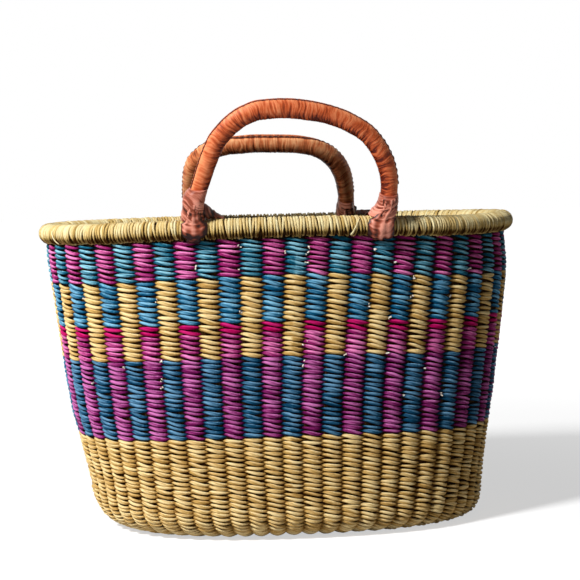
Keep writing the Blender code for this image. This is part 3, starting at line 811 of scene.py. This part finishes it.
FRONT_CORNERS = [
    (-83.6, 9.0), (-83.2, 18), (-80.8, 28), (-78.2, 36), (-75.8, 43), (-71.3, 57), (-68.1, 66), (-62.6, 78.5),
    (-53, 90), (-42, 98.8), (-28.7, 104.4), (-8.5, 106), (5, 105.2), (18.7, 103), (32.3, 99.7), (46, 94.8),
    (59.9, 87), (67.5, 81), (76.4, 69.5), (82.4, 57.4), (85.4, 46), (86.6, 35), (86, 22), (84.2, 9.0),
]
BACK_CORNERS = [
    (-83.6, 9.0), (-82.6, 20), (-81, 35), (-80.4, 52), (-79.4, 70), (-75.5, 84), (-64, 97), (-46, 103.6),
    (-21, 105.2), (6, 104.9), (22, 103.4), (37.5, 99.8), (46, 95.6), (54.2, 89.4), (62, 80.3), (66.2, 72),
    (69.6, 64), (72, 55), (73.6, 46), (75, 37), (76.2, 28), (77.4, 19), (78.6, 9.0),
]
# The back handle's seam has a thicker dark thong, which partly stands for the shade along that arch's outer edge.
HANDLES = {
    "front": {"side": -1, "tilt": math.radians(18), "line": FRONT_CORNERS, "seam": (22, 9, 12), "bow": 0, "thong": 0.70, "wide": 0.5, "slim": 60},
    "back": {"side": 1, "tilt": math.radians(43), "line": BACK_CORNERS, "seam": (2, 4, 2), "bow": 30, "thong": 1.05, "wide": 1.5, "slim": 34},
}
for label, facts in HANDLES.items():
    print(label, "arch is", round(handle_line(facts["line"])[2][-1] * 1000), "mm long")

# %% [markdown]
# ## Leather
# The tone that the mesh carries paints shade and light into the leather: it is darkest in the dents
# and palest on the ridges, as the height of each point gives it. Fine pores and a slow drift between
# orange and brown come from noise.


# %% Leather material
def leather(name, dark, middle, light, roughness=0.42):
    made = Nodes(name)
    made.shader.inputs["Roughness"].default_value = roughness
    made.shader.inputs["Specular IOR Level"].default_value = 0.16
    place = made.add("ShaderNodeTexCoord")
    drift = made.noise(place.outputs["Object"], 60.0, 3.0)
    pores = made.noise(place.outputs["Object"], 1500.0, 3.0, 0.7)
    tone = made.add("ShaderNodeAttribute", attribute_name="tone")
    mixed = made.math("ADD", made.math("MULTIPLY", tone.outputs["Fac"], 0.70), made.math("MULTIPLY", drift, 0.34))
    mixed = made.math("ADD", mixed, made.math("MULTIPLY", pores, 0.10))
    made.join(made.ramp(mixed, [(0.26, dark), (0.52, middle), (0.82, light)]), made.shader.inputs["Base Color"])
    made.bump(pores, 0.0003, 0.5)
    return made.material


COVER = leather("orange_leather", srgb(84, 22, 6), srgb(188, 84, 42), srgb(234, 144, 96))
BACK_COVER = leather("tan_leather", srgb(92, 38, 16), srgb(204, 112, 66), srgb(246, 180, 126))
FOOT = leather("foot_leather", srgb(40, 14, 8), srgb(146, 70, 48), srgb(226, 150, 128), 0.36)
# A darker copy of the foot leather: painted shade for the back feet and the gussets, which lie in shade.
SHADED_FOOT = leather("foot_leather_in_shade", srgb(30, 12, 8), srgb(112, 58, 40), srgb(190, 128, 104), 0.4)
THONG = leather("seam_thong", srgb(40, 14, 8), srgb(96, 40, 22), srgb(170, 104, 66), 0.5)


# %% The covers and their seams
def seam_angle(share, facts):
    left, top, right = (math.radians(value) for value in facts["seam"])
    straight = np.where(
        share < 0.5,
        left + (top - left) * np.clip(share / 0.32, 0, 1),
        top + (right - top) * np.clip((share - 0.62) / 0.32, 0, 1),
    )
    corners = np.exp(-(((share - 0.27) / 0.09) ** 2)) + np.exp(-(((share - 0.74) / 0.09) ** 2))
    return straight - math.radians(facts["bow"]) * corners


def arch_frame(across, up):
    """Unit vectors along the arch's line, away from its middle and towards the viewer."""
    run = unit(np.stack([np.gradient(across), 0 * across, np.gradient(up)], axis=-1))
    away = np.stack([-run[:, 2], 0 * across, run[:, 0]], axis=-1)
    near = np.broadcast_to(np.array([0.0, -1.0, 0.0]), away.shape)
    return run, away, near


def cover(label, facts, finish, seed):
    """The wrinkled leather tube of one handle."""
    rng = np.random.default_rng(seed)
    across, up, walked = handle_line(facts["line"])
    run, away, near = arch_frame(across, up)
    sides = 48
    angle = np.linspace(0, 2 * math.pi, sides, endpoint=False)
    share = (walked / walked[-1])[:, None]
    length = np.broadcast_to(walked[:, None], (len(walked), sides))
    spot = np.broadcast_to(angle, length.shape)
    wander = smooth_noise(rng, length, spot, 9 * MM, 1.0)
    slanted = length + 1.8 * MM * wander + 1.5 * MM * np.sin(spot + 0.8) + 4 * MM
    fine = smooth_noise(rng, slanted, spot, 1.1 * MM, 1.3)
    broad = smooth_noise(rng, slanted, spot, 2.7 * MM, 1.9)
    patch = 0.76 + 0.24 * smooth_noise(rng, length, spot, 14 * MM, 1.3)
    inside = np.maximum(0, -np.cos(spot))
    dents = -np.abs(fine) ** 0.7 * 0.62 - 0.45 * np.abs(broad)
    dents = dents * (0.75 + 0.6 * inside)
    swell = 0.34 * smooth_noise(rng, length, spot, 20 * MM, 2.1)
    off = (spot - seam_angle(share, facts) + math.pi) % (2 * math.pi) - math.pi
    groove = np.exp(-((off / 0.13) ** 2))
    lip = np.exp(-(((off - 0.30) / 0.20) ** 2))
    radius = LEG_RADIUS + (0.62 * dents * patch + swell + 0.55 * lip - 0.9 * groove + 0.15) * MM
    radius = radius + facts["wide"] * MM * (np.cos(spot) ** 2) * np.clip(np.sin(math.pi * share), 0, 1) ** 0.8
    radius = radius - 0.9 * MM * np.exp(-((walked - walked[0]) / (facts["slim"] * MM)) ** 2)[:, None]
    radius = radius - 1.0 * MM * np.exp(-((walked[-1] - walked) / (facts["slim"] * MM)) ** 2)[:, None]
    spokes = away[:, None] * np.cos(angle)[None, :, None] + near[:, None] * np.sin(angle)[None, :, None]
    points = np.stack([across, 0 * across, up], axis=-1)[:, None] + spokes * radius[..., None]
    # Painted shade and light: darker in the dents, in the seam's groove and on the inside of the arch, paler on the
    # ridges and the seam's lip.
    tone = 0.82 + 1.25 * dents * patch + 0.20 * lip - 1.2 * groove - 0.25 * inside
    piece = ring_mesh(
        f"{label}_cover", stand(points, facts["side"], facts["tilt"])[None], walked[None] * 1000,
        tone[None], closed=False, caps=True,
    )
    nodes = (f"{label}_handle_leather", f"{label}_handle_core")
    return dress(piece, f"{label}_handle", "tan_leather", [finish], *nodes)


def seam(label, facts, seed):
    """The thong that closes the cover: a thin cord that dips in and out along the groove."""
    rng = np.random.default_rng(seed)
    across, up, walked = handle_line(facts["line"])
    keep = slice(50, -50)
    run, away, near = arch_frame(across, up)
    share = (walked / walked[-1])[keep]
    across, up, walked, run, away, near = (x[keep] for x in (across, up, walked, run, away, near))
    spot = seam_angle(share, facts)
    spoke = away * np.cos(spot)[:, None] + near * np.sin(spot)[:, None]
    dip_in = 0.34 * np.sin(walked / (5.2 * MM) * 2 * math.pi)
    wide = facts["wide"] * np.sin(math.pi * share) ** 0.8
    radius = LEG_RADIUS + (dip_in - 0.45 + wide + rng.normal(0, 0.03, len(walked))) * MM
    middle = np.stack([across, 0 * across, up], axis=-1) + spoke * radius[:, None]
    side = np.cross(run, spoke)
    angle = np.linspace(0, 2 * math.pi, 8, endpoint=False)
    thick = facts["thong"] * MM
    points = (
        middle[:, None]
        + spoke[:, None] * (0.8 * thick * np.cos(angle))[None, :, None]
        + side[:, None] * (thick * np.sin(angle))[None, :, None]
    )
    # The thong is painted darker where it dips into the leather, as painted shade.
    piece = ring_mesh(
        f"{label}_seam", stand(points, facts["side"], facts["tilt"])[None], walked[None] * 1000,
        (0.30 + 0.8 * dip_in)[None], closed=False, caps=True,
    )
    return dress(piece, f"{label}_handle", "seam_thong", [THONG], f"{label}_handle_seam")


cover("front", HANDLES["front"], COVER, 21)
cover("back", HANDLES["back"], BACK_COVER, 22)
seam("front", HANDLES["front"], 23)
seam("back", HANDLES["back"], 24)

# %% [markdown]
# ## The handles' feet
# A wide tongue of the same leather goes over the rim, through the weave below it and up the other
# side, and thin wet leather is drawn over both ends of it. It dried into a wrinkled boot above the
# rim and a broad lug on the rim's outside. The tongue grips the rim while the handle swings.

# %% What each foot looks like
LOOP_RADIUS = 11.9 * MM
TAB_LINE = 9.3 * MM
TAB_TOP = 26 * MM
NARROW = 6.0
# Each foot gives the height below which its lug is painted in shade, and how much painted shade darkens its left and
# right side.
FEET = {
    "front_left": {
        "shift": 0.9, "wide": 11.4, "end": 38, "dark": 5.5, "side_shade": (0.06, 0.24),
        "folds": [(-0.78, -0.70, 0.16, 0.7), (-0.10, -0.05, 0.22, 0.8), (0.52, 0.62, 0.20, 0.8)],
        "levels": [9.4, 12, 18, 24, 30, 34, 37], "left": [10.6, 10.2, 9.8, 10.8, 11.6, 10.6, 8.0],
        "right": [10.6, 9.6, 8.8, 8.2, 7.9, 7.8, 7.4], "slope": 1.0,
    },
    "front_right": {
        "shift": -5.0, "wide": 11.6, "end": 84, "dark": -2.5, "side_shade": (0.32, 0.0),
        "folds": [(-0.70, -0.52, 0.20, 0.9), (0.18, -0.12, 0.17, 1.3), (0.66, 0.50, 0.20, 0.6)],
        "levels": [9.4, 11.2, 14, 17.5, 21, 25, 28], "left": [14.6, 13.8, 12.0, 10.0, 8.8, 8.3, 8.0],
        "right": [8.6, 8.8, 9.0, 9.0, 8.9, 8.6, 8.0], "slope": -0.5,
    },
    "back_left": {
        "shift": 2.4, "wide": 6.6, "end": 54, "dark": 2, "side_shade": (0.0, 0.0),
        "folds": [(-0.5, -0.4, 0.2, 0.6), (0.3, 0.3, 0.2, 0.7)],
        "levels": [9.4, 15, 22, 30, 35], "left": [3.2, 4.0, 5.6, 7.2, 7.8],
        "right": [9.6, 9.4, 9.0, 8.5, 8.0], "slope": -0.6,
    },
    "back_right": {
        "shift": -2.5, "wide": 9.0, "end": 54, "dark": 2, "side_shade": (0.0, 0.0),
        "folds": [(-0.4, -0.5, 0.2, 0.7), (0.4, 0.3, 0.2, 0.6)],
        "levels": [9.4, 15, 22, 26, 29], "left": [11.4, 10.4, 9.2, 8.4, 7.8],
        "right": [6.8, 6.9, 7.0, 7.1, 7.2], "slope": 0.6,
    },
}


def rounded(share):
    """0 to 1 along a quarter of a circle, which gives a strap a rounded end."""
    share = np.clip(share, 0, 1)
    return np.sqrt(1 - (1 - share) ** 2)


# %% Tongues round the rim
def strap_line():
    """The tongue's middle line seen from its edge: outside tab, round the rim, inside tab."""
    leave = math.acos(TAB_LINE / LOOP_RADIUS)
    turn = np.linspace(leave, -math.pi - leave, 90)
    climb = np.linspace(TAB_TOP, LOOP_RADIUS * math.sin(leave) + 0.3 * MM, 24)
    out = np.concatenate([np.full(24, TAB_LINE), LOOP_RADIUS * np.cos(turn), np.full(24, -TAB_LINE)])
    up = np.concatenate([climb, LOOP_RADIUS * np.sin(turn), climb[::-1]])
    walked = np.concatenate([[0], np.cumsum(np.hypot(np.diff(out), np.diff(up)))])
    even = np.linspace(0, walked[-1], 170)
    soften = np.hanning(9) / np.hanning(9).sum()
    out, up = (np.convolve(np.pad(np.interp(even, walked, x), 4, "edge"), soften, "valid") for x in (out, up))
    return out, up, even


def tongue(label, word, facts, foot, seed):
    """The strap of one foot, broad and folded where it shows and narrow where it passes the weave."""
    rng = np.random.default_rng(seed)
    out, up, walked = strap_line()
    path = np.stack([0 * out, facts["side"] * out, up], axis=-1)
    run = unit(np.gradient(path, axis=0))
    face = np.cross(run, np.array([1.0, 0, 0]))
    face = face * np.sign((face * path).sum(-1))[:, None]
    rest = stand(path, facts["side"], facts["tilt"]) - np.array([0, facts["side"] * FOOT_Y, RIM_Z])
    level = np.degrees(np.arctan2(rest[:, 2], np.abs(rest[:, 1])))
    outside = rest[:, 1] * facts["side"] > 0
    broad = rounded((level + np.where(outside, foot["end"], 54)) / 36)
    top = rounded((up - 8.5 * MM) / (9 * MM))
    half = (NARROW + (foot["wide"] - NARROW) * broad * (1 - top)) * MM
    sides = 64
    angle = np.linspace(0, 2 * math.pi, sides, endpoint=False)
    c, s = np.cos(angle), np.sin(angle)
    flat, lift = np.sign(c) * np.abs(c) ** 0.75, np.sign(s) * np.abs(s) ** 0.8
    length = np.broadcast_to(walked[:, None], (len(walked), sides))
    spot = np.broadcast_to(angle, length.shape)
    lump = smooth_noise(rng, length, spot, 6 * MM, 0.45)
    grain = smooth_noise(rng, length + 2 * MM * np.cos(spot * 2), spot, 1.4 * MM, 0.5)
    fall = np.clip((8 * MM - up) / (22 * MM), 0, 1)[:, None]
    folds = np.zeros(length.shape)
    for start, end, size, height in foot["folds"]:
        centre = start + (end - start) * fall
        folds += height * np.exp(-(((flat[None, :] - centre) / size) ** 2))
    folds = (folds - 0.35) * broad[:, None]
    crown = 1.5 * broad[:, None] * (1 - flat[None, :] ** 2)
    outer = 1.1 + crown + 0.95 * folds + 0.28 * lump + 0.16 * grain
    around_rim = np.clip((10 * MM - up) / (6 * MM), 0, 1)[:, None]
    thick = np.where(s > 0, outer, 1.0 + 1.5 * around_rim * broad[:, None]) * MM
    points = (
        path[:, None]
        + np.array([1.0, 0, 0]) * (half[:, None] * flat[None, :])[..., None]
        + face[:, None] * (thick * lift[None, :])[..., None]
    )
    across, rise, _ = handle_line(facts["line"])
    leg = slice(0, 90) if word == "left" else slice(-1, -91, -1)
    leg_x = np.interp(np.maximum(up, 9 * MM), rise[leg], across[leg])
    pivot_x = -SPREAD if word == "left" else SPREAD
    centre_x = pivot_x + foot["shift"] * MM * broad
    centre_x = centre_x + (leg_x - centre_x) * np.clip((up - 5 * MM) / (12 * MM), 0, 1)
    points = points + centre_x[:, None, None] * np.array([1.0, 0, 0])
    # Painted shade toward the lug's lower end and on its sides; the folds are painted lighter on their ridges and
    # darker in their valleys, and the tongue is darker along its two edges.
    low = np.clip((foot["dark"] * MM - up) / (7 * MM), 0, 1)[:, None]
    left_panel, right_panel = (soft_step((side * flat[None, :] - 0.05) / 0.5) for side in (-1, 1))
    side_shade = foot["side_shade"][0] * left_panel + foot["side_shade"][1] * right_panel
    tone = 0.52 + 0.60 * folds + 0.26 * lump + 0.34 * grain - 0.46 * low - side_shade
    tone = tone - 0.3 * (np.abs(flat)[None, :] > 0.93)
    points, tone = points[:, ::-1], tone[:, ::-1]
    piece = ring_mesh(
        f"{label}_{word}_tongue", stand(points, facts["side"], facts["tilt"])[None], walked[None] * 1000,
        tone[None], closed=False, caps=True,
    )
    # The back feet take the darker foot leather, as painted shade.
    piece.data.materials.append(SHADED_FOOT if label == "back" else FOOT)
    rise = Matrix.Rotation(facts["tilt"], 3, "X") @ Vector((0, 0, 12 * MM))
    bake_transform(piece)
    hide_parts(f"{label}_{word}_loop")
    print(piece.name, len(piece.data.polygons), "faces")


# %% Boots above the rim
def boot(label, word, facts, foot, seed):
    """The thin leather drawn over a foot, with slanting wrinkles that gather above the rim."""
    rng = np.random.default_rng(seed)
    across, rise, _ = handle_line(facts["line"])
    half_line = slice(0, 90) if word == "left" else slice(-1, -91, -1)
    levels, sides = 84, 72
    up = np.linspace(foot["levels"][0], foot["levels"][-1], levels) * MM
    centre = np.interp(up, rise[half_line], across[half_line])
    left, right = (np.interp(up / MM, foot["levels"], foot[name]) * MM for name in ("left", "right"))
    share = np.linspace(0, 1, levels)
    angle = np.linspace(0, 2 * math.pi, sides, endpoint=False)
    c, s = np.cos(angle), np.sin(angle)
    power = 2 / 2.4
    half_x = np.where(c[None, :] < 0, left[:, None], right[:, None])
    half_y = (8.4 + 3.3 * np.clip((1 - share) * 3.2, 0, 1) ** 0.7)[:, None] * MM
    x = half_x * (np.sign(c) * np.abs(c) ** power)[None, :]
    y = half_y * (np.sign(s) * np.abs(s) ** power)[None, :]
    level = np.broadcast_to(up[:, None], (levels, sides))
    spot = np.broadcast_to(angle, (levels, sides))
    wander = smooth_noise(rng, level, spot, 5 * MM, 0.8)
    slanted = level + foot["slope"] * 0.6 * x + 1.2 * MM * wander + 20 * MM
    ridge = smooth_noise(rng, slanted, spot, 0.85 * MM, 1.3)
    broad = smooth_noise(rng, slanted, spot, 2.3 * MM, 1.7)
    pleats = np.clip((1 - share) * 1.8, 0.25, 1)[:, None]
    push = (0.46 * ridge + 0.62 * broad) * pleats * MM
    top_edge = 0.955 + 0.03 * smooth_noise(rng, level, spot, 40 * MM, 1.2)
    hem = np.exp(-(((share[:, None] - top_edge) / 0.02) ** 2))
    outward = unit(np.stack([x, y], axis=-1))
    points = np.stack([x + outward[..., 0] * push, y + outward[..., 1] * push, level], axis=-1)
    points = points + centre[:, None, None] * np.array([1.0, 0, 0])
    # Painted shade and light: the wrinkles are darker in their valleys and lighter on their ridges, and darker at the
    # crease under the top hem.
    tone = 0.56 + (0.60 * ridge + 0.34 * broad) * pleats - 0.22 * hem
    piece = ring_mesh(
        f"{label}_{word}_boot", stand(points, facts["side"], facts["tilt"])[None], up[None] * 1000,
        tone[None], closed=False, caps=True,
    )
    # The back feet take the darker foot leather, as painted shade.
    finish = SHADED_FOOT if label == "back" else FOOT
    return dress(piece, f"{label}_handle", "foot_leather", [finish], f"{label}_{word}_binding")


# %% Gussets along the rim
def gusset(label, word, facts, start, end, tall, reach, seed):
    """A tail of leather from a foot along the rim, in the foot leather darkened as painted shade."""
    rng = np.random.default_rng(seed)
    stations, sides = 46, 28
    share = np.linspace(0, 1, stations)
    x = (start + (end - start) * share) * MM
    angle = np.linspace(0, 2 * math.pi, sides, endpoint=False)
    low = 9.3 * MM
    height = (1.6 + (tall - 1.6) * (1 - share) ** 1.25) * MM
    deep = (2.6 + reach * (1 - share) ** 0.8) * MM
    length = np.broadcast_to(np.abs(x - x[0])[:, None], (stations, sides))
    spot = np.broadcast_to(angle, length.shape)
    pleat = smooth_noise(rng, length + 4 * MM + 2.2 * MM * np.sin(spot), spot, 1.7 * MM, 1.2)
    grow = 1 + 0.16 * pleat
    y = deep[:, None] * np.cos(angle)[None, :] * grow
    z = low + height[:, None] / 2 * (1 + np.sin(angle)[None, :] * grow)
    points = np.stack([np.broadcast_to(x[:, None], y.shape), y, z], axis=-1)
    centre_x = -SPREAD if word == "left" else SPREAD
    points = points + np.array([centre_x, 0, 0])
    # Painted shade in the pleats' valleys and painted light on the upper side.
    tone = 0.30 + 0.50 * pleat + 0.12 * np.sin(spot)
    piece = ring_mesh(
        f"{label}_{word}_gusset", stand(points, facts["side"], facts["tilt"])[None], length[None, :, 0] * 1000,
        tone[None], closed=False, caps=True,
    )
    # The gusset takes the darker foot leather, as painted shade.
    piece.data.materials.append(SHADED_FOOT)
    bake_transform(piece)
    print(piece.name, len(piece.data.polygons), "faces")


for number, (label, facts) in enumerate(HANDLES.items()):
    for word in ("left", "right"):
        tongue(label, word, facts, FEET[f"{label}_{word}"], 31 + number)
        boot(label, word, facts, FEET[f"{label}_{word}"], 41 + number)
gusset("front", "left", HANDLES["front"], 6, 27, 18, 4.6, 51)
gusset("back", "right", HANDLES["back"], 4, 23, 0.4, 0.8, 52)

# %% [markdown]
# ## Clipped ends
# Where one strand runs out the next is laid in beside it, and the end is clipped off short on the
# outside. The pale stubs sit in the hollows between columns, here and there, more of them in front
# where the photograph shows them.

# %% Clipped ends
CLIPPED = [
    (-4.5, 24), (-10.5, 52), (-6.5, 53), (-8.5, 112), (-10.5, 128), (-6.5, 107), (-6.5, 123),
    (-6.5, 130), (0.5, 8), (0.5, 13), (0.5, 22), (3.5, 14), (4.5, 25), (5.5, 39),
    (3.5, 62), (5.5, 56), (7.5, 58), (4.5, 104), (2.5, 106), (0.5, 94), (0.5, 111),
    (6.5, 121), (8.5, 34), (4.5, 72), (5.5, 143), (7.5, 146), (-2.5, 27), (-0.5, 12),
    (-2.5, 64), (-2.5, 5),
]
clip_rng = np.random.default_rng(61)
extra = [(clip_rng.integers(14, 45) + 0.5, clip_rng.uniform(12, 170)) for _ in range(34)]
stub_points, stub_along = [], []
for column, drop in [*CLIPPED, *extra]:
    for _ in range(2):
        spot = np.array([column + clip_rng.normal(0, 0.04)]), np.array([(drop + clip_rng.normal(0, 1.0)) * MM])
        foot = skin(*spot, 2.6 * MM)[0]
        ahead = unit(skin(*spot, 0.0)[0] - skin(*spot, 4 * MM)[0])
        aslant = unit(ahead + np.array([clip_rng.normal(0.2, 0.5), 0, clip_rng.normal(0.1, 0.5)]))
        across_it = unit(np.cross(aslant, up))
        over_it = np.cross(aslant, across_it)
        steps = np.linspace(0, clip_rng.uniform(1.9, 3.0) * MM, 4)
        spin = np.arange(6) * math.pi / 3
        ring = across_it * np.cos(spin)[:, None] + over_it * np.sin(spin)[:, None]
        thick = clip_rng.uniform(0.45, 0.75) * MM
        stub_points.append(foot + aslant * steps[:, None, None] + ring[None] * thick)
        stub_along.append(steps * 1000)
stub_points, stub_along = np.array(stub_points), np.array(stub_along)
stubs = ring_mesh("clipped_ends", stub_points, stub_along, clip_rng.uniform(0.5, 1, (len(stub_points), 1)), closed=False, caps=True)
dress(stubs, "basket", "natural_straw", [PALE_STRAW])

# %% [markdown]
# ## Floor and light
# The basket was photographed on white. A large pale floor keeps its soft shadow, a broad lamp from
# the upper left gives the straw its gleam, and the white sky is seen by the camera only.

# %% Floor
bpy.ops.mesh.primitive_plane_add(size=30, location=(0, 0, -0.0002))
floor = bpy.context.object
floor.name = "floor"
floor_paint = Nodes("floor_paint")
floor_paint.shader.inputs["Base Color"].default_value = srgb(206, 206, 206)
floor_paint.shader.inputs["Roughness"].default_value = 0.9
floor_paint.shader.inputs["Specular IOR Level"].default_value = 0.0


def is_seen(made):
    """1 where the camera looks straight at something, or in a mirror or through glass, else 0."""
    path = made.add("ShaderNodeLightPath")
    rays = made.math("MAXIMUM", path.outputs["Is Camera Ray"], path.outputs["Is Glossy Ray"])
    return made.math("MAXIMUM", rays, path.outputs["Is Transmission Ray"])


place = floor_paint.add("ShaderNodeTexCoord")
away = floor_paint.add("ShaderNodeVectorMath", operation="LENGTH")
floor_paint.join(place.outputs["Object"], away.inputs[0])
glow_range = floor_paint.add("ShaderNodeMapRange", interpolation_type="SMOOTHSTEP")
for socket, value in (("From Min", 0.25), ("From Max", 1.6), ("To Min", 0.58), ("To Max", 1.0)):
    glow_range.inputs[socket].default_value = value
floor_paint.join(away.outputs["Value"], glow_range.inputs["Value"])
glow = floor_paint.add("ShaderNodeEmission")
seen = is_seen(floor_paint)
floor_paint.join(floor_paint.math("MULTIPLY", seen, glow_range.outputs[0]), glow.inputs["Strength"])
both = floor_paint.add("ShaderNodeAddShader")
floor_paint.join(floor_paint.shader.outputs[0], both.inputs[0])
floor_paint.join(glow.outputs[0], both.inputs[1])
floor_paint.join(both.outputs[0], floor_paint.tree.nodes["Material Output"].inputs["Surface"])
floor.data.materials.append(floor_paint.material)

# %% Lights
world = bpy.context.scene.world or bpy.data.worlds.new("sky")
bpy.context.scene.world = world
world.use_nodes = True


class Sky(Nodes):
    """The same hand for the world's nodes."""

    def __init__(self, tree):
        self.tree = tree


sky = Sky(world.node_tree)
background = sky.tree.nodes["Background"]
level = sky.add("ShaderNodeMapRange")
level.inputs["To Min"].default_value = 0.040
level.inputs["To Max"].default_value = 1.0
sky.join(is_seen(sky), level.inputs["Value"])
sky.join(level.outputs[0], background.inputs["Strength"])
background.inputs["Color"].default_value = (1, 1, 1, 1)


def lamp(name, place, aim, size, power):
    data = bpy.data.lights.new(name, "AREA")
    data.shape = "DISK"
    data.size = size
    data.energy = power
    made = bpy.data.objects.new(name, data)
    bpy.context.scene.collection.objects.link(made)
    made.location = place
    made.rotation_mode = "QUATERNION"
    made.rotation_quaternion = (Vector(aim) - Vector(place)).to_track_quat("-Z", "Y")
    return made


lamp("key_lamp", (-1.357, -1.139, 1.534), (0, 0, 0.15), 0.36, 66)
lamp("fill_lamp", (-1.2, -2.1, 0.9), (0, 0, 0.15), 1.2, 0.5)
bpy.context.scene.view_settings.view_transform = "Standard"
